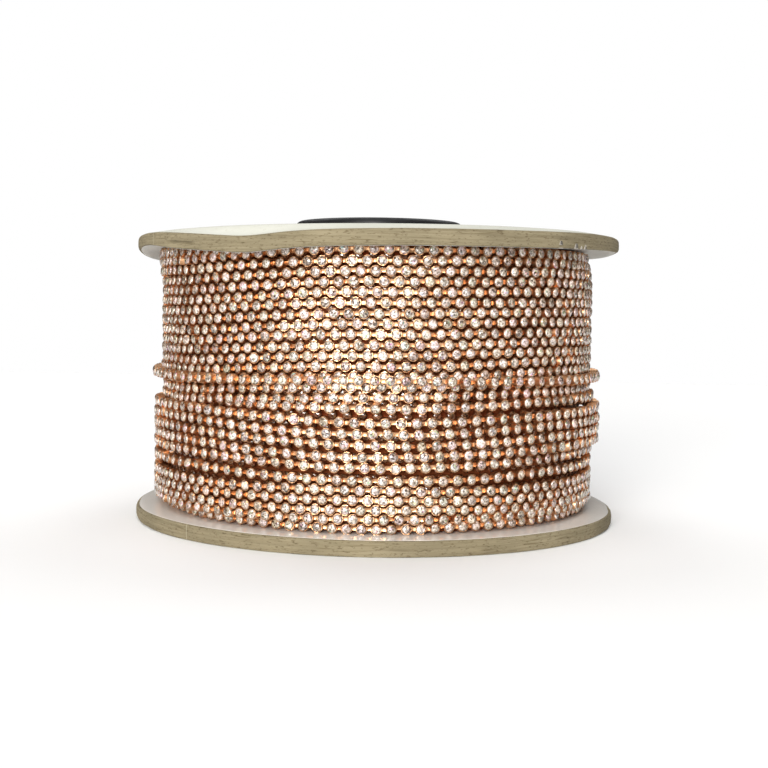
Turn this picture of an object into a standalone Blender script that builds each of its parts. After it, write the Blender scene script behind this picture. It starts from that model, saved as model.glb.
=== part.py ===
"""A spool of rhinestone chain: two board flanges on a plastic hub, with the chain wound between them.

Metres, +Z up. The origin is on the hub's axis, at the underside of the bottom board. Azimuth 0 is the
front, -Y, and azimuth 90 is the right, +X.
"""

import math

import bmesh
import bpy

MM = 0.001
GAP = 0.3 * MM
SEGMENTS = 64
SHARP_ANGLE = math.radians(30.0)

# Boards: grey board, faced with paper, die cut to a disc
BOARD_RADIUS = 55.0 * MM
BOARD_THICKNESS = 3.4 * MM
BOARD_WORN_EDGE = 0.25 * MM
SPOOL_HEIGHT = 64.8 * MM

# The top board isn't quite level: it rises by this much for each metre towards +X
TOP_LEAN = 0.0123

# The top board's rim is pulled down a little all round, and is bent down at the left, before and behind
BEND_STARTS_AT = 0.90 * BOARD_RADIUS
BENT_RIM = (
    # azimuth in degrees, drop at the rim in metres
    (-160.0, 0.7 * MM),
    (-130.0, 1.5 * MM),
    (-110.0, 2.1 * MM),
    (-100.0, 2.0 * MM),
    (-91.0, 1.5 * MM),
    (-82.0, 0.8 * MM),
    (-62.0, 0.6 * MM),
    (-51.0, 1.1 * MM),
    (-40.0, 1.8 * MM),
    (-29.0, 2.4 * MM),
    (-21.0, 1.9 * MM),
    (-11.0, 1.3 * MM),
    (4.0, 1.1 * MM),
    (30.0, 1.0 * MM),
    (50.0, 0.8 * MM),
    (82.0, 0.6 * MM),
    (98.0, 0.9 * MM),
    (160.0, 0.7 * MM),
)

# Hub: a plastic tube with a rim that holds the top board down
BORE_RADIUS = 12.7 * MM
TUBE_RADIUS = 15.0 * MM
RIM_RADIUS = 19.3 * MM
RIM_HEIGHT = 3.6 * MM
RIM_ROUNDING = 0.8 * MM
HUB_FOOT = 0.4 * MM

# Wound chain: one ridge for each turn that shows, counted up from the bottom board
TURN_COUNT = 27
WINDING_RADIUS = 49.4 * MM
TURN_DEPTH = 0.8 * MM
MID_HEIGHT_LEAN = 0.008

# Turns that ride on the turns below them, and turns that lie a little deeper than the rest
UNEVEN_TURNS = (
    # first turn, last turn, rise at the left, the front, the right and the back
    (0, 0, -0.6 * MM, -0.4 * MM, -0.6 * MM, -0.6 * MM),
    (1, 6, 1.7 * MM, 0.6 * MM, 0.6 * MM, 0.9 * MM),
    (7, 11, 1.7 * MM, 1.4 * MM, 2.4 * MM, 1.5 * MM),
    (14, 14, 2.1 * MM, 1.8 * MM, 2.1 * MM, 1.8 * MM),
    (25, 25, 0.4 * MM, -0.1 * MM, -0.7 * MM, -0.2 * MM),
    (26, 26, 0.8 * MM, -0.4 * MM, -1.1 * MM, -0.4 * MM),
)


def ease(t):
    t = min(max(t, 0.0), 1.0)
    return t * t * (3.0 - 2.0 * t)


def from_table(table, value):
    """The second column of a table at a value of its first, eased between rows and flat beyond them."""
    for (low, at_low), (high, at_high) in zip(table, table[1:]):
        if low <= value <= high:
            return at_low + (at_high - at_low) * ease((value - low) / (high - low))
    return table[0][1] if value < table[0][0] else table[-1][1]


def azimuth_of(point):
    return math.degrees(math.atan2(point.x, -point.y))


def top_lean(point):
    """How far a point rises because the top board, and what lies under it, leans."""
    return TOP_LEAN * point.x * point.z / SPOOL_HEIGHT


def bend_drop(point):
    """How far the bent rim of the top board lies below a flat board, at a point seen from above."""
    reach = (math.hypot(point.x, point.y) - BEND_STARTS_AT) / (BOARD_RADIUS - BEND_STARTS_AT)
    return from_table(BENT_RIM, azimuth_of(point)) * ease(reach)


def rise_of_turn(turn, azimuth):
    """How far one turn stands out at an azimuth, eased between its four stated sides."""
    for first, last, left, front, right, back in UNEVEN_TURNS:
        if first <= turn <= last:
            sides = ((-180.0, back), (-90.0, left), (0.0, front), (90.0, right), (180.0, back))
            return from_table(sides, azimuth)
    return 0.0


def turned_solid(name, profile, place, material):
    """Spins a closed profile of (radius, z) points about +Z, then moves each vertex by place(point)."""
    shape = bmesh.new()
    corners = [shape.verts.new((0.0, -radius, z)) for radius, z in profile]
    edges = [shape.edges.new(pair) for pair in zip(corners, corners[1:] + corners[:1])]
    bmesh.ops.spin(
        shape,
        geom=corners + edges,
        cent=(0.0, 0.0, 0.0),
        axis=(0.0, 0.0, 1.0),
        angle=math.tau,
        steps=SEGMENTS,
        use_merge=True,
    )
    for vertex in shape.verts:
        vertex.co = place(vertex.co.copy())
    bmesh.ops.recalc_face_normals(shape, faces=shape.faces)
    mesh = bpy.data.meshes.new(name)
    shape.to_mesh(mesh)
    shape.free()
    mesh.materials.append(material)
    mesh.shade_smooth()
    mesh.set_sharp_from_angle(angle=SHARP_ANGLE)
    solid = bpy.data.objects.new(name, mesh)
    bpy.context.scene.collection.objects.link(solid)
    return solid


def plain_material(name, colour, roughness, metallic):
    material = bpy.data.materials.new(name)
    material.use_nodes = True
    surface = material.node_tree.nodes["Principled BSDF"]
    surface.inputs["Base Color"].default_value = (*colour, 1.0)
    surface.inputs["Roughness"].default_value = roughness
    surface.inputs["Metallic"].default_value = metallic
    return material


def board_profile(underside):
    """The disc's cross-section, from the hole out to the rim, with its corners a little worn."""
    top = underside + BOARD_THICKNESS
    hole = TUBE_RADIUS + GAP
    halfway_down_bend = 0.5 * (BEND_STARTS_AT + BOARD_RADIUS)
    face_radii = [hole, BEND_STARTS_AT, halfway_down_bend, BOARD_RADIUS - BOARD_WORN_EDGE]
    lower_face = [(radius, underside) for radius in face_radii]
    rim = [(BOARD_RADIUS, underside + BOARD_WORN_EDGE), (BOARD_RADIUS, top - BOARD_WORN_EDGE)]
    upper_face = [(radius, top) for radius in reversed(face_radii)]
    return lower_face + rim + upper_face


def build_bottom_board(material):
    return turned_solid("board_bottom", board_profile(0.0), lambda point: point, material)


def build_top_board(material):
    """The same disc, leaning, with its rim pulled down and bent at the left."""

    def place(point):
        point.z += top_lean(point) - bend_drop(point)
        return point

    return turned_solid("board_top", board_profile(SPOOL_HEIGHT - BOARD_THICKNESS), place, material)


def build_hub(material):
    """The tube stops just inside the bottom board, and its rim lies on the top one."""
    seat = SPOOL_HEIGHT + GAP
    top = SPOOL_HEIGHT + RIM_HEIGHT
    half = 0.3 * RIM_ROUNDING
    profile = [
        (BORE_RADIUS, HUB_FOOT),
        (TUBE_RADIUS, HUB_FOOT),
        (TUBE_RADIUS, seat),
        (RIM_RADIUS, seat),
        (RIM_RADIUS, top - RIM_ROUNDING),
        (RIM_RADIUS - half, top - half),
        (RIM_RADIUS - RIM_ROUNDING, top),
        (BORE_RADIUS + RIM_ROUNDING, top),
        (BORE_RADIUS + half, top - half),
        (BORE_RADIUS, top - RIM_ROUNDING),
    ]

    def place(point):
        point.z += top_lean(point)
        return point

    return turned_solid("hub", profile, place, material)


def build_winding(material):
    """The chain as it is wound: a ridge for each turn, between flat faces that lie against the boards."""
    bottom = BOARD_THICKNESS + GAP
    top = SPOOL_HEIGHT - BOARD_THICKNESS - GAP
    pitch = (top - bottom) / TURN_COUNT
    inner = TUBE_RADIUS + GAP
    profile = [(inner, bottom)]
    for turn in range(TURN_COUNT):
        profile.append((WINDING_RADIUS - TURN_DEPTH, bottom + turn * pitch))
        profile.append((WINDING_RADIUS, bottom + (turn + 0.5) * pitch))
    profile.append((WINDING_RADIUS - TURN_DEPTH, top))
    profile.append((inner, top))

    def place(point):
        radius = math.hypot(point.x, point.y)
        height = (point.z - bottom) / (top - bottom)
        if radius > inner + GAP:
            # A crest belongs to one turn, and a valley lies between two and follows the deeper one
            beside = [math.floor(height * TURN_COUNT + offset) for offset in (-0.25, 0.25)]
            turns = [min(max(turn, 0), TURN_COUNT - 1) for turn in beside]
            rise = min(rise_of_turn(turn, azimuth_of(point)) for turn in turns)
            point.x *= 1.0 + rise / radius
            point.y *= 1.0 + rise / radius
        point.z += top_lean(point) + MID_HEIGHT_LEAN * point.x * 4.0 * height * (1.0 - height)
        return point

    return turned_solid("winding", profile, place, material)


def main():
    for old in list(bpy.data.objects):
        bpy.data.objects.remove(old)
    grey_board = plain_material("grey_board", (0.46, 0.42, 0.31), 0.85, 0.0)
    black_plastic = plain_material("black_plastic", (0.02, 0.02, 0.022), 0.4, 0.0)
    rose_metal = plain_material("rose_metal", (0.76, 0.46, 0.32), 0.3, 0.9)
    build_bottom_board(grey_board)
    build_top_board(grey_board)
    build_hub(black_plastic)
    build_winding(rose_metal)


main()
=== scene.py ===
import math

import bpy
import numpy as np
from mathutils import Matrix


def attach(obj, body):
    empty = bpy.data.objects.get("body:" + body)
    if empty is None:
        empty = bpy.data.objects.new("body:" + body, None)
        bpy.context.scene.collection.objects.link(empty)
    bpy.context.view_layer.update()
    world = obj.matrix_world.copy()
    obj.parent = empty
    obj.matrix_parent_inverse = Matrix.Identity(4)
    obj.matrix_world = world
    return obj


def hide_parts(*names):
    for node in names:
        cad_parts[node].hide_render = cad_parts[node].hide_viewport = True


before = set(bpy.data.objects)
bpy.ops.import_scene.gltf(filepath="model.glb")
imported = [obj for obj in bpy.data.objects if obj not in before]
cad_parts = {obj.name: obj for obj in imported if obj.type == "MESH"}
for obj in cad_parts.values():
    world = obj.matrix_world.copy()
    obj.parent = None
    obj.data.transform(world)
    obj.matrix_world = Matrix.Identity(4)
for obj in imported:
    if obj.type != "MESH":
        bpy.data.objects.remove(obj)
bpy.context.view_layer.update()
mm = 0.001


# small helpers

def deselectAll():
    if bpy.context.object and bpy.context.object.mode != "OBJECT":
        bpy.ops.object.mode_set(mode="OBJECT")
    bpy.ops.object.select_all(action="DESELECT")


def ease(t):
    t = min(max(t, 0.0), 1.0)
    return t * t * (3.0 - 2.0 * t)


def eased(table, value):
    # second column of a table at a value of its first, eased between rows and flat beyond them
    for (low, atLow), (high, atHigh) in zip(table, table[1:]):
        if low <= value <= high:
            return atLow + (atHigh - atLow) * ease((value - low) / (high - low))
    return table[0][1] if value < table[0][0] else table[-1][1]


def rounded(table, value, width):
    # the same, straight between rows, with its corners rounded over a width
    columns = [[row[column] for row in table] for column in (0, 1)]
    return sum(float(np.interp(value + width * share, *columns)) for share in (-1, -0.5, 0, 0.5, 1)) / 5


def azimuthOf(x, y):
    return math.degrees(math.atan2(x, -y))


def turnedRing(name, profile, segments):
    # a ring of edges is extruded from point to point of the closed profile, all in millimetres
    deselectAll()
    radius, height = profile[0]
    bpy.ops.mesh.primitive_circle_add(vertices=segments, radius=radius * mm, location=(0, 0, 0))
    piece = bpy.context.object
    piece.name = piece.data.name = name
    bpy.ops.object.mode_set(mode="EDIT")
    bpy.ops.mesh.select_mode(type="VERT")
    bpy.ops.mesh.select_all(action="SELECT")
    bpy.ops.transform.translate(value=(0, 0, height * mm))
    for nextRadius, nextHeight in profile[1:] + profile[:1]:
        scale = nextRadius / radius
        bpy.ops.mesh.extrude_region_move()
        bpy.ops.transform.resize(value=(scale, scale, 1), center_override=(0, 0, 0))
        bpy.ops.transform.translate(value=(0, 0, (nextHeight - height) * mm))
        radius, height = nextRadius, nextHeight
    bpy.ops.mesh.select_all(action="SELECT")
    bpy.ops.mesh.remove_doubles(threshold=0.000002)
    bpy.ops.mesh.normals_make_consistent(inside=False)
    bpy.ops.object.mode_set(mode="OBJECT")
    return piece


def selectFaces(piece, isWanted):
    # in edit mode, before and after
    bpy.ops.mesh.select_all(action="DESELECT")
    bpy.ops.object.mode_set(mode="OBJECT")
    for face in piece.data.polygons:
        face.select = isWanted(face)
    bpy.ops.object.mode_set(mode="EDIT")


def facesUp(face):
    return face.normal.z > 0.9


def smoothByAngle(piece, angle):
    deselectAll()
    piece.select_set(True)
    bpy.context.view_layer.objects.active = piece
    bpy.ops.object.shade_smooth_by_angle(angle=math.radians(angle))


def dress(piece, materials):
    piece.data.materials.clear()
    for material in materials:
        piece.data.materials.append(material)
    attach(piece, "root")


# materials

def newMaterial(name):
    material = bpy.data.materials.new(name)
    material.use_nodes = True
    tree = material.node_tree
    return material, tree, tree.nodes["Principled BSDF"]


def addNode(tree, kind, place=(0, 0), **values):
    node = tree.nodes.new(kind)
    node.location = place
    for name, value in values.items():
        if hasattr(node, name):
            setattr(node, name, value)
        else:
            node.inputs[name.replace("_", " ")].default_value = value
    return node


def noiseAt(tree, scale, detail=3.0, roughness=0.55, stretch=(1, 1, 1), place=(-700, 0)):
    # noise on Object coordinates, drawn out along the axes where stretch is small
    coordinates = addNode(tree, "ShaderNodeTexCoord", (place[0] - 400, place[1]))
    mapping = addNode(tree, "ShaderNodeMapping", (place[0] - 200, place[1]))
    mapping.inputs["Scale"].default_value = stretch
    noise = addNode(tree, "ShaderNodeTexNoise", place, Scale=scale, Detail=detail, Roughness=roughness)
    tree.links.new(coordinates.outputs["Object"], mapping.inputs["Vector"])
    tree.links.new(mapping.outputs["Vector"], noise.inputs["Vector"])
    return noise.outputs["Fac"]


def ramp(tree, source, stops, place=(-400, 0)):
    node = addNode(tree, "ShaderNodeValToRGB", place)
    elements = node.color_ramp.elements
    while len(elements) < len(stops):
        elements.new(0.5)
    for element, (position, colour) in zip(elements, stops):
        element.position = position
        element.color = (*colour, 1.0)
    tree.links.new(source, node.inputs["Fac"])
    return node.outputs["Color"]


def mixColours(tree, kind, factor, first, second, place=(-200, 0)):
    node = addNode(tree, "ShaderNodeMix", place, data_type="RGBA", blend_type=kind)
    for socketName, value in (("Factor", factor), ("A", first), ("B", second)):
        socket = node.inputs[socketName]
        if isinstance(value, bpy.types.NodeSocket):
            tree.links.new(value, socket)
        else:
            socket.default_value = (*value, 1.0) if isinstance(value, tuple) else value
    return node.outputs["Result"]


def addBump(tree, surface, heights, strength, distance, place=(-200, -400)):
    bump = addNode(tree, "ShaderNodeBump", place, Strength=strength, Distance=distance)
    tree.links.new(heights, bump.inputs["Height"])
    tree.links.new(bump.outputs["Normal"], surface.inputs["Normal"])


def stoneMaterial(name, cast):
    # cast is painted over the whole stone: a painted reflection of the metal round it, with painted shade
    # added for the rows below
    material, tree, surface = newMaterial(name)
    # painted light: each facet's stored brightness stands in for the light it reflects, from dark to
    # white
    paintedLight = addNode(tree, "ShaderNodeAttribute", (-900, 200), attribute_name="facetPaintedLight")
    # each stone's faint tint, with painted rainbow glints on some facets
    tint = addNode(tree, "ShaderNodeAttribute", (-900, -50), attribute_name="facetTintAndGlint")
    grey = ramp(tree, paintedLight.outputs["Fac"], (
        (0.00, (0.08, 0.055, 0.04)),
        (0.16, (0.20, 0.16, 0.13)),
        (0.40, (0.42, 0.37, 0.33)),
        (0.68, (0.69, 0.65, 0.61)),
        (1.00, (0.97, 0.94, 0.915)),
    ), (-600, 200))
    tinted = mixColours(tree, "MULTIPLY", 1.0, grey, tint.outputs["Color"], (-300, 150))
    # painted sparkle: small cells of painted light and shade, some grey and some faintly coloured, stand
    # in for the facets below seen through the stone
    coordinates = addNode(tree, "ShaderNodeTexCoord", (-1300, 500))
    cells = addNode(tree, "ShaderNodeTexVoronoi", (-1100, 500), Scale=2600.0)
    tree.links.new(coordinates.outputs["Object"], cells.inputs["Vector"])
    split = addNode(tree, "ShaderNodeSeparateColor", (-900, 500))
    tree.links.new(cells.outputs["Color"], split.inputs["Color"])
    depth = ramp(tree, split.outputs["Red"], (
        (0.00, (0.42, 0.43, 0.47)),
        (0.16, (0.62, 0.56, 0.46)),
        (0.34, (0.86, 0.84, 0.76)),
        (0.55, (1.00, 0.96, 0.97)),
        (0.80, (1.12, 1.12, 1.08)),
    ), (-600, 500))
    sparkling = mixColours(tree, "MULTIPLY", 1.0, tinted, depth, (-100, 300))
    # painted shade and painted reflection: a stone seen from its side is darkened and takes on the colour
    # of its cup
    weight = addNode(tree, "ShaderNodeLayerWeight", (-600, 800), Blend=0.5)
    turned = ramp(tree, weight.outputs["Facing"], (
        (0.00, (1.0, 1.0, 1.0)),
        (0.26, (0.86, 0.80, 0.74)),
        (0.58, (0.60, 0.49, 0.39)),
    ), (-400, 800))
    shaded = mixColours(tree, "MULTIPLY", 1.0, sparkling, turned, (100, 300))
    toned = mixColours(tree, "MULTIPLY", 1.0, shaded, cast, (300, 300))
    tree.links.new(toned, surface.inputs["Base Color"])
    clouding = noiseAt(tree, 900.0, 2.0, place=(-700, -350))
    rough = ramp(tree, clouding, ((0.35, (0.05, 0.05, 0.05)), (0.75, (0.16, 0.16, 0.16))), (-400, -350))
    tree.links.new(rough, surface.inputs["Roughness"])
    surface.inputs["IOR"].default_value = 1.6
    surface.inputs["Coat Weight"].default_value = 1.0
    surface.inputs["Coat Roughness"].default_value = 0.03
    return material


def roseMetalMaterial(name, light, dark, roughLow, roughHigh):
    material, tree, surface = newMaterial(name)
    patches = noiseAt(tree, 260.0, 4.0, place=(-700, 200))
    colour = ramp(tree, patches, ((0.30, dark), (0.70, light)), (-400, 200))
    tree.links.new(colour, surface.inputs["Base Color"])
    wear = noiseAt(tree, 1500.0, 3.0, place=(-700, -100))
    rough = ramp(tree, wear, ((0.30, (roughLow,) * 3), (0.75, (roughHigh,) * 3)), (-400, -100))
    tree.links.new(rough, surface.inputs["Roughness"])
    addBump(tree, surface, wear, 0.25, 0.00003)
    surface.inputs["Metallic"].default_value = 1.0
    return material


def greyBoardMaterial(name, seamAzimuth):
    # pressed grey board, cut edge: thin layers run round the rim, with pale and dark fibres in them
    material, tree, surface = newMaterial(name)
    layers = noiseAt(tree, 1.0, 5.0, 0.62, (60, 60, 2400), (-900, 300))
    base = ramp(tree, layers, (
        (0.25, (0.170, 0.144, 0.090)),
        (0.50, (0.235, 0.201, 0.129)),
        (0.75, (0.292, 0.256, 0.170)),
    ), (-600, 300))
    fibres = noiseAt(tree, 1.0, 2.0, 0.7, (900, 900, 3200), (-900, 0))
    darkFibres = ramp(tree, fibres, ((0.33, (0.42, 0.36, 0.29)), (0.43, (1, 1, 1))), (-600, 0))
    mixed = mixColours(tree, "MULTIPLY", 0.75, base, darkFibres, (-300, 200))
    stains = noiseAt(tree, 60.0, 3.0, place=(-900, -250))
    stainTone = ramp(tree, stains, ((0.30, (0.80, 0.78, 0.74)), (0.70, (1.08, 1.06, 1.02))), (-600, -250))
    stained = mixColours(tree, "MULTIPLY", 1.0, mixed, stainTone, (-100, 100))
    # long dark scratches between the layers
    strands = noiseAt(tree, 1.0, 2.0, 0.5, (170, 170, 5200), (-900, -700))
    strandTone = ramp(tree, strands, ((0.31, (0.55, 0.50, 0.42)), (0.40, (1, 1, 1))), (-600, -700))
    scratched = mixColours(tree, "MULTIPLY", 0.8, stained, strandTone, (100, 100))
    # a pale line across the rim, where the cut starts and ends
    coordinates = addNode(tree, "ShaderNodeTexCoord", (-1300, 700))
    parts = addNode(tree, "ShaderNodeSeparateXYZ", (-1100, 700))
    flipped = addNode(tree, "ShaderNodeMath", (-950, 700), operation="MULTIPLY")
    angle = addNode(tree, "ShaderNodeMath", (-800, 700), operation="ARCTAN2")
    away = addNode(tree, "ShaderNodeMath", (-650, 700), operation="SUBTRACT")
    distance = addNode(tree, "ShaderNodeMath", (-500, 700), operation="ABSOLUTE")
    flipped.inputs[1].default_value = -1.0
    away.inputs[1].default_value = math.radians(seamAzimuth)
    tree.links.new(coordinates.outputs["Object"], parts.inputs["Vector"])
    tree.links.new(parts.outputs["Y"], flipped.inputs[0])
    tree.links.new(parts.outputs["X"], angle.inputs[0])
    tree.links.new(flipped.outputs["Value"], angle.inputs[1])
    tree.links.new(angle.outputs["Value"], away.inputs[0])
    tree.links.new(away.outputs["Value"], distance.inputs[0])
    fromSeam = distance.outputs["Value"]
    seamTone = ramp(tree, fromSeam, ((0.0012, (1, 1, 1)), (0.0034, (0, 0, 0))), (-300, 700))
    seamed = mixColours(tree, "MIX", seamTone, scratched, (0.33, 0.30, 0.21), (300, 100))
    tree.links.new(seamed, surface.inputs["Base Color"])
    surface.inputs["Roughness"].default_value = 0.88
    surface.inputs["Specular IOR Level"].default_value = 0.25
    addBump(tree, surface, layers, 0.55, 0.00012, (-200, -450))
    return material


def paperMaterial(name, light, shade, roughness=0.85, specular=0.15):
    material, tree, surface = newMaterial(name)
    mottling = noiseAt(tree, 75.0, 5.0, place=(-900, 250))
    base = ramp(tree, mottling, ((0.32, shade), (0.68, light)), (-600, 250))
    flecks = noiseAt(tree, 1400.0, 2.0, place=(-900, -50))
    fleckTone = ramp(tree, flecks, ((0.27, (0.80, 0.77, 0.72)), (0.36, (1, 1, 1))), (-600, -50))
    mixed = mixColours(tree, "MULTIPLY", 0.7, base, fleckTone, (-300, 150))
    tree.links.new(mixed, surface.inputs["Base Color"])
    surface.inputs["Roughness"].default_value = roughness
    surface.inputs["Specular IOR Level"].default_value = specular
    addBump(tree, surface, flecks, 0.2, 0.00004)
    return material


def blackPlasticMaterial():
    material, tree, surface = newMaterial("black_plastic_moulded")
    haze = noiseAt(tree, 120.0, 4.0, place=(-700, 200))
    colour = ramp(tree, haze, ((0.3, (0.006, 0.006, 0.007)), (0.7, (0.014, 0.014, 0.015))), (-400, 200))
    tree.links.new(colour, surface.inputs["Base Color"])
    scuffs = noiseAt(tree, 1.0, 4.0, 0.6, (500, 500, 2200), (-700, -100))
    rough = ramp(tree, scuffs, ((0.35, (0.36, 0.36, 0.36)), (0.7, (0.56, 0.56, 0.56))), (-400, -100))
    tree.links.new(rough, surface.inputs["Roughness"])
    surface.inputs["Specular IOR Level"].default_value = 0.22
    addBump(tree, surface, scuffs, 0.2, 0.00004)
    return material


# the two boards

board = {
    "radius": 55.0,
    "thickness": 3.4,
    "spoolHeight": 64.8,
    "hole": 15.3,
    "paper": 0.08,
    "paperSetBack": 0.16,     # from the core's edge in to the paper's
    "paperEdge": 0.05,        # how far the paper's edge comes to a point
    "wornEdge": 0.22,
    "segments": 320,
    "lean": 0.0123,           # how far the top board rises for each millimetre to the right
    "bendStart": 49.5,        # radius at which the top board's bend starts
    "bendSoftness": 3.5,      # degrees over which the bend's corners are rounded
    "roughDepth": 1.4,        # how far in from the rim the cut is uneven
    "cutBack": 0.03,
    "waves": 8,
    "waveDepth": 0.02,
    "grain": 0.015,
    "layerShift": 0.012,      # how unevenly the rim's layers lie
    "wornInwards": 0.8,       # shares of a corner's wear that go inwards and towards mid height
    "wornLevel": 0.6,
    "splitFrom": 0.36,        # where in the thickness of the rim its layers part
    "splitTo": 0.46,
    "seeds": {"board_bottom": 12, "board_top": 11, "upper": 13, "lower": 14},
    "faceRadii": (19.6, 30.0, 40.0, 46.5),
    "bendRadii": (50.6, 51.7, 52.8, 53.8, 54.4),
    "rimShares": (0.08, 0.18, 0.30, 0.41, 0.52, 0.66, 0.80, 0.92),
}

# azimuth, and how far the top board's rim is pulled or bent down there
bentRim = (
    (-160, 0.7), (-130, 1.5), (-110, 2.1), (-100, 2.0), (-91, 1.5), (-84, 0.85), (-68, 0.6), (-60, 0.65),
    (-51, 1.1), (-40, 1.8), (-30, 2.5), (-26, 2.45), (-20, 1.8), (-11, 1.35), (4, 1.15), (30, 1.05),
    (50, 0.8), (82, 0.6), (98, 0.9), (160, 0.7),
)

# azimuth, and how far the top board's lower corner is pressed up there
pressedRim = ((-81, 0.0), (-74, 0.35), (-66, 0.65), (-58, 0.35), (-50, 0.0))

# azimuth, and how deep the split between the rim's layers is
splitRim = ((-54, 0.0), (-51, 0.4), (-45, 0.45), (-40, 0.0))

# azimuth, and how far a board's corners are worn round there
wornCorners = (
    (-110, 0.1), (-82, 0.55), (-64, 0.15), (-55, 0.0), (55, 0.0), (66, 0.2), (84, 0.6), (110, 0.1),
)

# little torn flaps of paper on the top rim's lower edge: azimuth, width, height
tornFlaps = ((42.2, 1.25, 1.35), (47.5, 1.25, 0.95), (49.5, 0.6, 0.5), (51.1, 0.9, 0.8))

# each flap starts as a thin block at its foot
flap = {
    "thick": 0.09,
    "footHeight": 0.16,
    "footMiddle": 0.10,       # above the board's underside
    "standOff": 0.02,
    "lean": 0.05,             # how far it leans off the rim each time it is drawn out
    "taper": (0.8, 0.6),
}


def onRim(table, x, y):
    # a value of the rim's table at this azimuth, fading out towards the flat part of the board
    reach = (math.hypot(x, y) / mm - board["bendStart"]) / (board["radius"] - board["bendStart"])
    return rounded(table, azimuthOf(x, y), board["bendSoftness"]) * ease(reach) * mm


def leanRise(x, z):
    return board["lean"] * x * z / (board["spoolHeight"] * mm)


def settleTop(piece):
    # what belongs to the top board leans with it and follows its bent and pressed rim
    for vertex in piece.data.vertices:
        x, y, z = vertex.co
        depth = (board["spoolHeight"] - z / mm) / board["thickness"]
        vertex.co.z += leanRise(x, z) - onRim(bentRim, x, y) + onRim(pressedRim, x, y) * depth


def roughenRim(piece, underside, seed, split):
    # the cut rim is a little uneven, its corners are worn, and the top board's layers part at one place
    b = board
    noise = np.random.default_rng(seed)
    phases = noise.uniform(0, math.tau, b["waves"])
    for vertex in piece.data.vertices:
        x, y, z = vertex.co
        radius = math.hypot(x, y) / mm
        reach = ease((radius - b["radius"] + b["roughDepth"]) / b["roughDepth"])
        if reach <= 0.0:
            continue
        azimuth = azimuthOf(x, y)
        turn = math.radians(azimuth)
        wave = sum(math.sin((9 + 17 * i) * turn + phase) / (1 + i) for i, phase in enumerate(phases))
        height = (z / mm - underside) / b["thickness"]
        corner = 2.0 * height - 1.0
        worn = eased(wornCorners, azimuth) * reach * abs(corner) ** 3
        push = reach * (-b["cutBack"] + b["waveDepth"] * wave + noise.normal(0, b["grain"]))
        push -= b["wornInwards"] * worn
        if split and b["splitFrom"] < height < b["splitTo"]:
            push -= eased(splitRim, azimuth)
        vertex.co.x *= 1 + push / radius
        vertex.co.y *= 1 + push / radius
        vertex.co.z -= math.copysign(b["wornLevel"] * worn, corner) * mm
        if 0.05 < height < 0.95:    # between the two faces
            vertex.co.z += noise.normal(0, b["layerShift"]) * mm


def makeBoard(name, underside, isTop, materials):
    b = board
    core, upperPaper, lowerPaper = materials
    faceRadii = [b["hole"], *b["faceRadii"], b["bendStart"], *b["bendRadii"]]
    low, high = underside + b["paper"], underside + b["thickness"] - b["paper"]
    edge = b["radius"] - b["wornEdge"]
    profile = [(radius, low) for radius in faceRadii + [edge]]
    profile += [(b["radius"], underside + b["thickness"] * share) for share in b["rimShares"]]
    profile += [(radius, high) for radius in reversed(faceRadii + [edge])]
    rim = turnedRing(name + "_core", profile, b["segments"])
    roughenRim(rim, underside, b["seeds"][name], isTop)
    pieces = [(rim, core)]
    for part, start, material in (("upper", high, upperPaper), ("lower", underside, lowerPaper)):
        paperRadii = faceRadii + [edge - b["paperSetBack"]]
        shape = [(radius, start) for radius in paperRadii]
        shape += [(paperRadii[-1] + b["paperEdge"], start + 0.5 * b["paper"])]
        shape += [(radius, start + b["paper"]) for radius in reversed(paperRadii)]
        paper = turnedRing(name + "_paper_" + part, shape, b["segments"])
        roughenRim(paper, underside, b["seeds"][part], False)
        pieces.append((paper, material))
    if isTop:
        pieces.append((makeTornFlaps(underside), tornPaper))
    for piece, material in pieces:
        if isTop:
            settleTop(piece)
        smoothByAngle(piece, 35)
        dress(piece, [material])
    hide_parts("board_top" if isTop else "board_bottom")


def makeTornFlaps(underside):
    # each flap is a thin block, narrower towards its top and leaning a little off the rim
    f = flap
    deselectAll()
    bpy.ops.mesh.primitive_cube_add(size=1, location=(0, 0, 0))
    piece = bpy.context.object
    piece.name = piece.data.name = "board_top_torn_paper"
    bpy.ops.object.mode_set(mode="EDIT")
    bpy.ops.mesh.select_all(action="SELECT")
    bpy.ops.mesh.delete(type="VERT")
    for azimuth, width, height in tornFlaps:
        turn = math.radians(azimuth)
        outwards = (math.sin(turn), -math.cos(turn))
        foot = [(board["radius"] + f["standOff"]) * mm * side for side in outwards]
        foot.append((underside + f["footMiddle"]) * mm)
        drawnOut = [f["lean"] * side * mm for side in outwards] + [0.5 * height * mm]
        bpy.ops.mesh.primitive_cube_add(size=1, location=foot)
        bpy.ops.transform.resize(
            value=(width * mm, f["thick"] * mm, f["footHeight"] * mm), center_override=foot)
        bpy.ops.transform.rotate(value=-turn, orient_axis="Z", center_override=foot)
        for share in f["taper"]:
            bpy.ops.object.mode_set(mode="OBJECT")
            highest = max(vertex.co.z for vertex in piece.data.vertices[-4:])
            for face in piece.data.polygons:
                near = math.hypot(face.center.x - foot[0], face.center.y - foot[1]) < 1.2 * mm
                face.select = near and face.normal.z > 0.5 and abs(face.center.z - highest) < 0.3 * mm
            bpy.ops.object.mode_set(mode="EDIT")
            bpy.ops.mesh.select_mode(type="FACE")
            bpy.ops.mesh.extrude_region_move()
            bpy.ops.transform.translate(value=drawnOut)
            bpy.ops.transform.resize(value=(share, share, 1), center_override=(foot[0], foot[1], highest))
        bpy.ops.mesh.select_all(action="DESELECT")
    bpy.ops.mesh.select_all(action="SELECT")
    bpy.ops.mesh.normals_make_consistent(inside=False)
    bpy.ops.object.mode_set(mode="OBJECT")
    return piece


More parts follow.
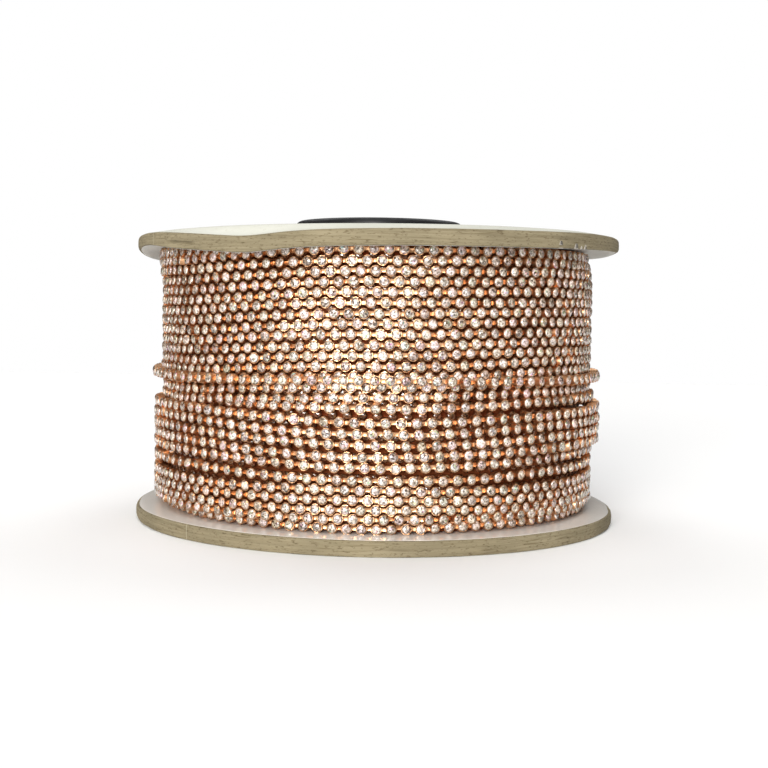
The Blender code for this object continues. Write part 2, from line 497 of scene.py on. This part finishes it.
creamPaper = paperMaterial("cream_paper", (0.60, 0.60, 0.535), (0.54, 0.54, 0.475))
greyPaper = paperMaterial("grey_white_paper", (0.62, 0.615, 0.575), (0.55, 0.545, 0.505))
glossyPaper = paperMaterial("glossy_paper", (0.85, 0.81, 0.755), (0.78, 0.74, 0.685), 0.2, 0.5)
tornPaper = paperMaterial("torn_paper", (0.42, 0.39, 0.34), (0.33, 0.30, 0.25))
bottomEdge = greyBoardMaterial("grey_board_edge_bottom", -44)
topEdge = greyBoardMaterial("grey_board_edge_top", -60)
makeBoard("board_bottom", 0.0, False, (bottomEdge, glossyPaper, creamPaper))
makeBoard("board_top", board["spoolHeight"] - board["thickness"], True, (topEdge, creamPaper, greyPaper))
print("boards made")


# the hub

hub = {
    "bore": 12.7,
    "tube": 15.0,
    "rim": 19.3,
    "rimHeight": 3.3,
    "shoulder": 1.3,      # how far the rim's outer shoulder is rounded over
    "shoulderSteps": 7,
    "lean": 0.5,          # how much of the top board's lean the hub takes
    "foot": 0.4,
    "footChamfer": 0.4,
    "clearance": 0.05,    # between the rim and the top board
    "rimLine": 0.25,      # height above the seat of an edge round the rim's side
    "segments": 160,
}

# the lip inside the rim: how far out from the bore, and how far below the rim's top
hubLip = ((1.9, 0.0), (1.6, 0.35), (0.6, 0.35), (0.2, 0.6), (0.0, 1.0))


def makeHub():
    h = hub
    seat = board["spoolHeight"] + h["clearance"]
    top = board["spoolHeight"] + h["rimHeight"]
    profile = [(h["bore"], h["foot"] + h["footChamfer"]), (h["bore"] + h["footChamfer"], h["foot"])]
    profile += [(h["tube"], h["foot"]), (h["tube"], seat)]
    profile += [(h["rim"], seat), (h["rim"], seat + h["rimLine"])]
    for step in range(h["shoulderSteps"] + 1):
        turn = math.radians(90 * step / h["shoulderSteps"])
        inwards = h["shoulder"] * (1 - math.cos(turn))
        below = h["shoulder"] * (1 - math.sin(turn))
        profile.append((h["rim"] - inwards, top - below))
    profile += [(h["bore"] + outwards, top - below) for outwards, below in hubLip]
    piece = turnedRing("hub_rim", profile, h["segments"])
    for vertex in piece.data.vertices:
        vertex.co.z += h["lean"] * leanRise(vertex.co.x, vertex.co.z)
    smoothByAngle(piece, 40)
    dress(piece, [blackPlasticMaterial()])
    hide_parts("hub")


makeHub()
print("hub made")


# one cup with its link, and one stone

cup = {
    "radius": 1.10,
    "depth": 1.35,
    "sides": 12,
    "wall": 0.08,
    "prongRise": 0.33,
    "prongIn": 0.68,      # how far out a prong's point is, in shares of its foot's distance
    "prongPoint": 0.6,    # how wide a prong's point is, in shares of its foot
    "linkLength": 1.3,
    "linkWidth": 0.84,
    "linkThick": 0.36,
    "linkDrop": 0.85,     # from the cup's rim down to the link's face
    "linkBorder": 0.16,
    "linkHollow": 0.08,
    "pitch": 3.03,
}

stone = {
    "radius": 1.03,
    "sides": 8,
    "table": 0.52,
    "tableHeight": 0.30,
    "starRadius": 0.82,
    "starHeight": 0.19,
    "girdleHeight": 0.03,
    "pointRadius": 0.2575,
    "pointDepth": 0.45,
    # the next two shape the facets' painted light: how many facets are light, and how far whole stones
    # differ
    "toneBias": 0.78,     # under 1 makes more facets light
    "toneSpread": 0.10,   # how far whole stones differ in tone
    "tintSpread": 0.05,   # how far whole stones differ in colour
    # painted rainbow glints: the share of facets that get one, and the range of their colours
    "glints": 0.07,       # share of facets with a colour of their own
    "hueLow": 0.45,       # range that such a colour is drawn from, and its least value
    "hueHigh": 1.15,
    "hueLeast": 0.35,
}

# painted casts over the stones: clear is a painted reflection of the metal round them, shadowed adds
# painted shade for the stones of the rows below
paintedStoneCasts = {"clear": (0.99, 0.955, 0.97), "shadowed": (0.42, 0.21, 0.12)}

# each metal's light and dark colour, and its lowest and highest roughness
roseMetals = {
    "bright": ((0.79, 0.47, 0.265), (0.55, 0.29, 0.145), 0.24, 0.50),
    # the second metal, on the cup walls, is rougher, and darker and redder than the first: painted shade
    # in the hollows between the cups
    "dull_shaded": ((0.70, 0.27, 0.105), (0.43, 0.145, 0.055), 0.70, 0.92),
    # the third metal, on the rows below, is darker still: painted shade
    "deep_shaded": ((0.50, 0.17, 0.065), (0.28, 0.085, 0.033), 0.60, 0.85),
}


def isProngFoot(face):
    # the four parts of the cup's edge that lie at 45 degrees to the chain
    x, y = face.center.xy
    turn = math.degrees(math.atan2(y, x)) % 90
    return facesUp(face) and math.hypot(x, y) > 0.5 * cup["radius"] * mm and abs(turn - 45) < 10


def modelCup():
    # a drawn cup, its four prongs bent in over the stone, and the link to the next cup
    c = cup
    deselectAll()
    bpy.ops.mesh.primitive_cylinder_add(
        vertices=c["sides"], radius=c["radius"] * mm, depth=c["depth"] * mm, location=(0, 0, 0))
    piece = bpy.context.object
    bpy.ops.object.mode_set(mode="EDIT")
    bpy.ops.mesh.select_all(action="SELECT")
    bpy.ops.transform.translate(value=(0, 0, -0.5 * c["depth"] * mm))
    selectFaces(piece, facesUp)
    bpy.ops.mesh.inset(thickness=c["wall"] * mm, depth=0)
    selectFaces(piece, isProngFoot)
    bpy.ops.mesh.select_mode(type="FACE")
    bpy.ops.mesh.extrude_region_move()
    bpy.ops.transform.translate(value=(0, 0, c["prongRise"] * mm))
    bpy.ops.transform.resize(value=(c["prongIn"], c["prongIn"], 1), center_override=(0, 0, 0))
    for quarter in range(4):
        bpy.ops.object.mode_set(mode="OBJECT")
        for face in piece.data.polygons:
            turn = math.degrees(math.atan2(face.center.y, face.center.x)) % 360
            onTop = face.center.z > 0.9 * c["prongRise"] * mm
            face.select = onTop and abs(turn - 45 - 90 * quarter) < 20
            if face.select:
                point = tuple(face.center)
        bpy.ops.object.mode_set(mode="EDIT")
        bpy.ops.transform.resize(value=(c["prongPoint"], c["prongPoint"], 1), center_override=point)
    bpy.ops.mesh.select_all(action="DESELECT")
    middle = (0.5 * c["pitch"] * mm, 0, -(c["linkDrop"] + 0.5 * c["linkThick"]) * mm)
    bpy.ops.mesh.primitive_cube_add(size=1, location=middle)
    bpy.ops.transform.resize(
        value=(c["linkLength"] * mm, c["linkWidth"] * mm, c["linkThick"] * mm), center_override=middle)
    selectFaces(piece, lambda face: facesUp(face) and face.center.x > c["radius"] * mm)
    bpy.ops.mesh.inset(thickness=c["linkBorder"] * mm, depth=-c["linkHollow"] * mm)
    bpy.ops.object.mode_set(mode="OBJECT")
    # walls get the darker metal, its darkness painted shade; prongs and link faces get the bright one
    for face in piece.data.polygons:    # prongs and link faces are bright, walls are dull
        onLink = face.center.x > 1.02 * c["radius"] * mm and face.normal.z > 0.5
        face.material_index = 0 if onLink or face.center.z > 0.1 * c["prongRise"] * mm else 1
    return piece


def modelStone():
    # table, star facets, bezels and a point below, all from one eight-sided ring
    s = stone
    deselectAll()
    bpy.ops.mesh.primitive_circle_add(
        vertices=s["sides"], radius=s["table"] * mm, fill_type="NGON", location=(0, 0, 0))
    piece = bpy.context.object
    bpy.ops.object.mode_set(mode="EDIT")
    bpy.ops.mesh.select_mode(type="EDGE")
    bpy.ops.mesh.select_all(action="SELECT")
    bpy.ops.transform.translate(value=(0, 0, s["tableHeight"] * mm))
    bpy.ops.mesh.region_to_loop()
    radius, height = s["table"], s["tableHeight"]
    halfStep = math.pi / s["sides"]
    rings = (
        (s["starRadius"], s["starHeight"], halfStep),
        (s["radius"], s["girdleHeight"], halfStep),
        (s["pointRadius"], -s["pointDepth"], 0.0),
    )
    for nextRadius, nextHeight, turn in rings:
        scale = nextRadius / radius
        bpy.ops.mesh.extrude_region_move()
        bpy.ops.transform.resize(value=(scale, scale, 1), center_override=(0, 0, 0))
        bpy.ops.transform.translate(value=(0, 0, (nextHeight - height) * mm))
        if turn:
            bpy.ops.transform.rotate(value=turn, orient_axis="Z", center_override=(0, 0, 0))
        radius, height = nextRadius, nextHeight
    bpy.ops.mesh.edge_face_add()
    bpy.ops.mesh.select_all(action="SELECT")
    bpy.ops.mesh.normals_make_consistent(inside=False)
    selectFaces(piece, lambda face: facesUp(face) and len(face.vertices) == s["sides"])
    bpy.ops.mesh.select_mode(type="FACE")
    bpy.ops.mesh.poke()
    bpy.ops.mesh.select_all(action="SELECT")
    bpy.ops.mesh.quads_convert_to_tris(quad_method="SHORTEST_DIAGONAL")
    bpy.ops.object.mode_set(mode="OBJECT")
    return piece


# how the chain is wound

wound = {
    "girdle": 49.05,          # from the hub's axis to the stones' girdles, where a row isn't uneven
    "perTurn": 102.6,         # stones to a turn where one group of rows passes into the next
    "belowFirst": 1.9,        # from the first row down to where a row before it would lie
    "aboveLast": 2.0,         # and from the last row up to where one after it would
    "heightWobble": 0.07,
    "heightScatter": 0.035,
    "radiusWobble": 0.06,
    "radiusScatter": 0.03,
    "tilt": 6.0,              # spread of how far the cups tip, in degrees
    "spin": 14.0,             # spread of how far the stones are turned in their cups, in degrees
    "tuckAngle": 14.0,        # degrees over which the end of a run that lies over is tucked in
    "tuckDepth": 2.2,
    "endSpan": 12.0,          # a stone ends a run where those before and after it are further apart
    "seed": 5,
}

# rows from the bottom board up: how many, first height, spacing, where the first stone is past the
# front in shares of a pitch, and stones to a turn
rowGroups = (
    (6, 4.55, 1.91, 0.27, 102.53),
    (5, 16.80, 2.22, 0.45, 103.18),
    (4, 28.50, 2.085, 0.07, 102.82),
    (12, 36.84, 2.085, 0.06, 102.57),
)

# height of a row at the front, and how far it rises from there to the left (-60) and to the right (50)
rowSlopes = (
    (4.5, 0.2, 0.4), (8.0, -0.4, -0.4), (12.2, -0.3, -0.3), (14.1, 1.0, 0.8), (25.7, 1.3, 1.2),
    (28.5, 0.2, 1.0), (30.6, -2.0, 0.9), (37.0, -2.1, 1.0), (48.0, -2.3, 0.8), (54.0, -2.2, 0.6),
    (60.0, -2.0, 0.4),
)

# first row, last row, and how far they stand out at the left, front, right and back
unevenRows = (
    (0, 0, -0.6, -0.4, -0.6, -0.6),
    (1, 6, 1.75, 0.6, 0.65, 0.9),
    (7, 10, 1.7, 1.4, 2.4, 1.5),
    (11, 11, -1.6, 1.0, 1.0, 0.6),
    (12, 13, -0.2, 0.0, 0.0, 0.0),
    (14, 23, 0.1, 0.0, 0.0, 0.0),
    (24, 24, 0.2, 0.0, -0.3, 0.0),
    (25, 25, 0.5, -0.1, -0.7, -0.2),
    (26, 26, 0.9, -0.4, -1.1, -0.4),
)

# runs that lie over the rows: start and end azimuth, heights and stand-outs at left, front, right, back
overRuns = (
    (-179, 179, (33.3, 34.0, 33.9, 34.3), (2.15, 1.7, 2.1, 1.8)),
    (-168, -22, (59.6, 59.6, 59.6, 59.3), (0.9, -0.2, 0.0, 0.0)),
)

# the rows below the outer ones, seen only in the gaps between those
under = {
    "girdle": 46.6,
    "rows": 26,
    "perTurn": 97,
    "shift": 0.37,        # how far a row's stones are past those of the row below, in shares of a pitch
    "first": 5.6,
    "pitch": 2.13,
    "valley": 45.6,
    "crest": 46.5,
    "hub": 15.4,
    "bottom": 3.5,
    "top": 61.1,
    "segments": 128,
}

# number of the first run over the rows, number of the first row below the outer ones, and how many
# numbers there are in all
firstOver, firstUnder, rowNumbers = 100, 120, 200

# parts that the chain is made in, and the first and last number of the rows in each
bands = (
    ("low", 0, 9),
    ("middle", 10, 18),
    ("high", 19, 26),
    ("over", firstOver, firstUnder - 1),
    ("under", firstUnder, rowNumbers - 1),
)


def slopesAt(height):
    heights = [row[0] for row in rowSlopes]
    return [float(np.interp(height, heights, [row[column] for row in rowSlopes])) for column in (1, 2)]


def standOut(row):
    for first, last, left, front, right, back in unevenRows:
        if first <= row <= last:
            return left, front, right, back
    return 0.0, 0.0, 0.0, 0.0


def roundTheSpool(azimuth, left, front, right, backBefore, backAfter):
    # a value that is stated at the back, left, front and right, at any azimuth
    sides = ((-180.0, backBefore), (-60.0, left), (0.0, front), (50.0, right), (180.0, backAfter))
    return eased(sides, azimuth)


def rowTable():
    rows, place = [], 0.0
    for count, first, spacing, shift, perTurn in rowGroups:
        place = round(place + wound["perTurn"] + shift) - shift
        for index in range(count):
            rows.append((first + index * spacing, place))
            place += perTurn
        place -= perTurn
    return rows


def chainPlaces():
    # (azimuth, radius, height) of every stone along the chain, from the bottom up
    rows = rowTable()
    places = []
    for row, (front, place) in enumerate(rows):
        below = (front - wound["belowFirst"], place - wound["perTurn"])
        above = (front + wound["aboveLast"], place + wound["perTurn"])
        if row > 0:
            below = rows[row - 1]
        if row + 1 < len(rows):
            above = rows[row + 1]
        left, right = slopesAt(front)
        out = standOut(row)
        outBelow, outAbove = standOut(max(row - 1, 0))[3], standOut(min(row + 1, len(rows) - 1))[3]
        start, end = 0.5 * (below[1] + place), 0.5 * (above[1] + place)
        for number in range(math.ceil(start), math.ceil(end)):
            azimuth = 180.0 * (number - place) / ((place - start) if number < place else (end - place))
            height = front + roundTheSpool(
                azimuth, left, 0.0, right, 0.5 * (below[0] - front), 0.5 * (above[0] - front))
            rise = roundTheSpool(azimuth, *out[:3], 0.5 * (out[3] + outBelow), 0.5 * (out[3] + outAbove))
            places.append((azimuth, wound["girdle"] + rise, height, row))
    return places


def overPlaces():
    # stones of the runs that lie over the rows, with both ends tucked in
    places = []
    step = 360.0 / wound["perTurn"]
    for index, (start, end, heights, outs) in enumerate(overRuns):
        for number in range(int((end - start) / step)):
            azimuth = start + number * step
            toEnd = min(azimuth - start, end - azimuth)
            tuck = wound["tuckDepth"] * (1 - ease(toEnd / wound["tuckAngle"]))
            height = roundTheSpool(azimuth, *heights[:3], heights[3], heights[3])
            rise = roundTheSpool(azimuth, *outs[:3], outs[3], outs[3])
            places.append((azimuth, wound["girdle"] + rise - tuck, height, firstOver + index))
    return places


def underPlaces():
    # stones of the rows below, in the valleys between the outer rows
    u = under
    places = []
    for turn in range(u["rows"]):
        for number in range(u["perTurn"]):
            azimuth = (number + u["shift"] * turn) * 360.0 / u["perTurn"] - 180.0
            places.append((azimuth, u["girdle"], u["first"] + turn * u["pitch"], firstUnder + turn))
    return places


def placeFrames(places, draw):
    # the middle of each cup, and its directions along the chain, across it and outwards
    azimuths, radii, heights, rows = (np.array(column) for column in zip(*places))
    angle = np.radians(azimuths)
    phases = draw.uniform(0, math.tau, (rowNumbers, 4))[rows.astype(int)]
    wobble = np.sin(3 * angle + phases[:, 0]) + 0.6 * np.sin(7 * angle + phases[:, 1])
    heights = heights + wound["heightWobble"] * wobble
    heights += draw.normal(0, wound["heightScatter"], len(angle))
    wobble = np.sin(4 * angle + phases[:, 2]) + 0.7 * np.sin(11 * angle + phases[:, 3])
    radii = radii + wound["radiusWobble"] * wobble
    radii += draw.normal(0, wound["radiusScatter"], len(angle))
    middle = np.stack([radii * np.sin(angle), -radii * np.cos(angle), heights], axis=1) * mm
    outward = np.stack([np.sin(angle), -np.cos(angle), np.zeros_like(angle)], axis=1)
    along = np.roll(middle, -1, axis=0) - np.roll(middle, 1, axis=0)
    flat = np.stack([np.cos(angle), np.sin(angle), np.zeros_like(angle)], axis=1)
    broken = np.linalg.norm(along, axis=1) > wound["endSpan"] * mm
    along[broken] = flat[broken]
    tips = np.radians(draw.normal(0, wound["tilt"], (len(angle), 2)))
    up = np.cross(outward, flat)
    outward = outward + flat * tips[:, :1] + up * tips[:, 1:]
    outward /= np.linalg.norm(outward, axis=1)[:, None]
    along -= outward * np.sum(along * outward, axis=1)[:, None]
    along /= np.linalg.norm(along, axis=1)[:, None]
    across = np.cross(outward, along)
    return middle, along, across, outward, rows


def copiesAsMesh(name, master, middle, along, across, outward):
    # one mesh of all the copies of a master shape, each at its own place
    source = master.data
    points = np.empty(len(source.vertices) * 3)
    source.vertices.foreach_get("co", points)
    points = points.reshape(-1, 3)
    corners = np.empty(len(source.loops), dtype=int)
    source.loops.foreach_get("vertex_index", corners)
    sizes = np.array([len(face.vertices) for face in source.polygons])
    count = len(middle)
    placed = (middle[:, None, :] + points[None, :, 0:1] * along[:, None, :]
              + points[None, :, 1:2] * across[:, None, :] + points[None, :, 2:3] * outward[:, None, :])
    allCorners = (corners[None, :] + len(points) * np.arange(count)[:, None]).ravel()
    allSizes = np.tile(sizes, count)
    starts = np.concatenate([[0], np.cumsum(allSizes)[:-1]])
    mesh = bpy.data.meshes.new(name)
    mesh.vertices.add(count * len(points))
    mesh.vertices.foreach_set("co", placed.ravel())
    mesh.loops.add(len(allCorners))
    mesh.loops.foreach_set("vertex_index", allCorners)
    mesh.polygons.add(len(allSizes))
    mesh.polygons.foreach_set("loop_start", starts)
    slots = [face.material_index for face in source.polygons]
    mesh.polygons.foreach_set("material_index", np.tile(slots, count))
    mesh.update(calc_edges=True)
    mesh.validate()
    piece = bpy.data.objects.new(name, mesh)
    bpy.context.scene.collection.objects.link(piece)
    return piece


def spun(along, across, turns):
    # the same directions, turned about the outward one
    c, s = np.cos(turns)[:, None], np.sin(turns)[:, None]
    return along * c + across * s, across * c - along * s


def colourFacets(piece, facets, count, draw):
    # painted light: each facet gets a painted brightness that stands in for the light it catches, and a
    # few get painted rainbow glints; each stone also has a faint tint
    paintedLight = draw.uniform(0.0, 1.0, (count, facets)) ** stone["toneBias"]
    paintedLight = np.clip(paintedLight + draw.normal(0, stone["toneSpread"], (count, 1)), 0.0, 1.0)
    tint = 1.0 - np.abs(draw.normal(0, stone["tintSpread"], (count, 1, 3)))
    # painted rainbow glints, on top of each stone's faint tint
    glint = draw.uniform(0, 1, (count, facets)) < stone["glints"]
    hue = draw.uniform(stone["hueLow"], stone["hueHigh"], (count, facets, 3))
    hue = np.clip(hue, stone["hueLeast"], 1.0)
    tint = np.where(glint[..., None], hue, np.broadcast_to(tint, (count, facets, 3)))
    colour = np.concatenate([tint, np.ones((count, facets, 1))], axis=2)
    toneLayer = piece.data.attributes.new("facetPaintedLight", "FLOAT", "FACE")
    toneLayer.data.foreach_set("value", paintedLight.ravel())
    tintLayer = piece.data.attributes.new("facetTintAndGlint", "FLOAT_COLOR", "FACE")
    tintLayer.data.foreach_set("color", colour.ravel())


def windChain():
    draw = np.random.default_rng(wound["seed"])
    places = chainPlaces() + overPlaces() + underPlaces()
    middle, along, across, outward, rows = placeFrames(places, draw)
    turns = np.radians(draw.normal(0, wound["spin"], len(middle)))
    stoneAlong, stoneAcross = spun(along, across, turns)
    bright = roseMetalMaterial("rose_metal_bright", *roseMetals["bright"])
    dull_shaded = roseMetalMaterial("rose_metal_dull", *roseMetals["dull_shaded"])
    clear = stoneMaterial("clear_stone", paintedStoneCasts["clear"])
    # painted shade and painted reflection for the stones of the rows below
    shadowed = stoneMaterial("clear_stone_below_shaded", paintedStoneCasts["shadowed"])
    cupMaster, stoneMaster = modelCup(), modelStone()
    facets = len(stoneMaster.data.polygons)
    for band, first, last in bands:
        here = (rows >= first) & (rows <= last)
        turned = (middle[here], stoneAlong[here], stoneAcross[here], outward[here])
        stones = copiesAsMesh("chain_stones_" + band, stoneMaster, *turned)
        colourFacets(stones, facets, int(here.sum()), draw)
        dress(stones, [shadowed if band == "under" else clear])
        if band == "under":
            continue
        straight = (middle[here], along[here], across[here], outward[here])
        cups = copiesAsMesh("chain_cups_" + band, cupMaster, *straight)
        smoothByAngle(cups, 35)
        dress(cups, [bright, dull_shaded])
        if band == "low":
            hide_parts("winding")
    cupFaces = len(cupMaster.data.polygons)
    print("chain wound:", len(middle), "stones,", cupFaces, "faces a cup,", facets, "a stone")
    for master in (cupMaster, stoneMaster):
        bpy.data.objects.remove(master)


def layUnderRows():
    # the metal of the rows below, as one ring with a ridge for each, in a darker metal whose darkness is
    # painted shade
    u = under
    profile = [(u["hub"], u["bottom"])]
    for turn in range(u["rows"] + 1):
        profile.append((u["valley"], u["bottom"] + turn * u["pitch"]))
        profile.append((u["crest"], u["bottom"] + (turn + 0.5) * u["pitch"]))
    profile += [(u["valley"], u["top"]), (u["hub"], u["top"])]
    piece = turnedRing("chain_under_rows", profile, u["segments"])
    for vertex in piece.data.vertices:
        vertex.co.z += leanRise(vertex.co.x, vertex.co.z)
    smoothByAngle(piece, 30)
    dress(piece, [roseMetalMaterial("rose_metal_deep", *roseMetals["deep_shaded"])])


windChain()
layUnderRows()


# floor, lights and camera

studio = {
    "distance": 305.4,
    "height": 48.2,
    "side": 1.8,
    "pitch": 3.30,          # degrees that the camera looks down
    "roll": 1.05,
    "lens": 61.26,
    "sensor": 36,
    "clipStart": 10.0,
    "floorWide": 900.0,
    "floorBefore": 1500.0,  # how far the floor reaches towards the camera
    "floorBehind": 600.0,
    "worldSeen": 1.0,       # brightness of the white surroundings to the camera
    "worldLight": 0.10,     # and as a light
}

# soft lights: azimuth and elevation they shine from, strength, how wide they are, and colour
lamps = {
    "key_front": (-13, 10, 3.7, 27, (1.0, 0.985, 0.96)),
    "key_high": (-16, 38, 0.9, 34, (1.0, 0.99, 0.97)),
    "top": (0, 80, 1.0, 50, (1.0, 1.0, 1.0)),
    "back_left": (-148, 50, 0.65, 35, (1.0, 1.0, 1.0)),
    "back_right": (148, 50, 0.65, 35, (1.0, 1.0, 1.0)),
}


def makeFloor():
    deselectAll()
    bpy.ops.mesh.primitive_plane_add(size=1, location=(0, 0, 0))
    floor = bpy.context.object
    floor.name = "floor"
    bpy.ops.object.mode_set(mode="EDIT")
    wide, before, behind = (studio[side] * mm for side in ("floorWide", "floorBefore", "floorBehind"))
    bpy.ops.transform.resize(value=(wide, before + behind, 1), center_override=(0, 0, 0))
    bpy.ops.transform.translate(value=(0, 0.5 * (behind - before), 0))
    bpy.ops.object.mode_set(mode="OBJECT")
    material, tree, surface = newMaterial("pale_floor")
    shade = noiseAt(tree, 3.0, 2.0, place=(-700, 200))
    colour = ramp(tree, shade, ((0.3, (0.94, 0.94, 0.94)), (0.7, (0.96, 0.96, 0.96))), (-400, 200))
    tree.links.new(colour, surface.inputs["Base Color"])
    surface.inputs["Roughness"].default_value = 0.8
    floor.data.materials.append(material)


def makeSun(name, azimuth, elevation, strength, angle, colour):
    light = bpy.data.lights.new(name, "SUN")
    light.energy = strength
    light.angle = math.radians(angle)
    light.color = colour
    lamp = bpy.data.objects.new(name, light)
    bpy.context.scene.collection.objects.link(lamp)
    lamp.rotation_euler = (math.radians(90 - elevation), 0, math.radians(azimuth))


def makeStudio():
    world = bpy.data.worlds.new("studio")
    world.use_nodes = True
    tree = world.node_tree
    background = tree.nodes["Background"]
    path = addNode(tree, "ShaderNodeLightPath", (-600, 0))
    strength = addNode(tree, "ShaderNodeMapRange", (-300, 0))
    strength.inputs["To Min"].default_value = studio["worldLight"]
    strength.inputs["To Max"].default_value = studio["worldSeen"]
    tree.links.new(path.outputs["Is Camera Ray"], strength.inputs["Value"])
    tree.links.new(strength.outputs["Result"], background.inputs["Strength"])
    background.inputs["Color"].default_value = (1, 1, 1, 1)
    bpy.context.scene.world = world
    for name, values in lamps.items():
        makeSun(name, *values)
    view = bpy.context.scene.view_settings
    view.view_transform = "Standard"
    view.look = "None"


def makeCamera():
    s = studio
    camera = bpy.data.objects.new("camera", bpy.data.cameras.new("camera"))
    bpy.context.scene.collection.objects.link(camera)
    camera.data.lens = s["lens"]
    camera.data.sensor_width = s["sensor"]
    camera.data.clip_start = s["clipStart"] * mm
    place = Matrix.Translation((s["side"] * mm, -s["distance"] * mm, s["height"] * mm))
    tipped = Matrix.Rotation(math.radians(90 - s["pitch"]), 4, "X")
    rolled = Matrix.Rotation(math.radians(s["roll"]), 4, "Z")
    camera.matrix_world = place @ tipped @ rolled
    bpy.context.scene.camera = camera


makeFloor()
makeStudio()
makeCamera()
print("floor, lights and camera made")
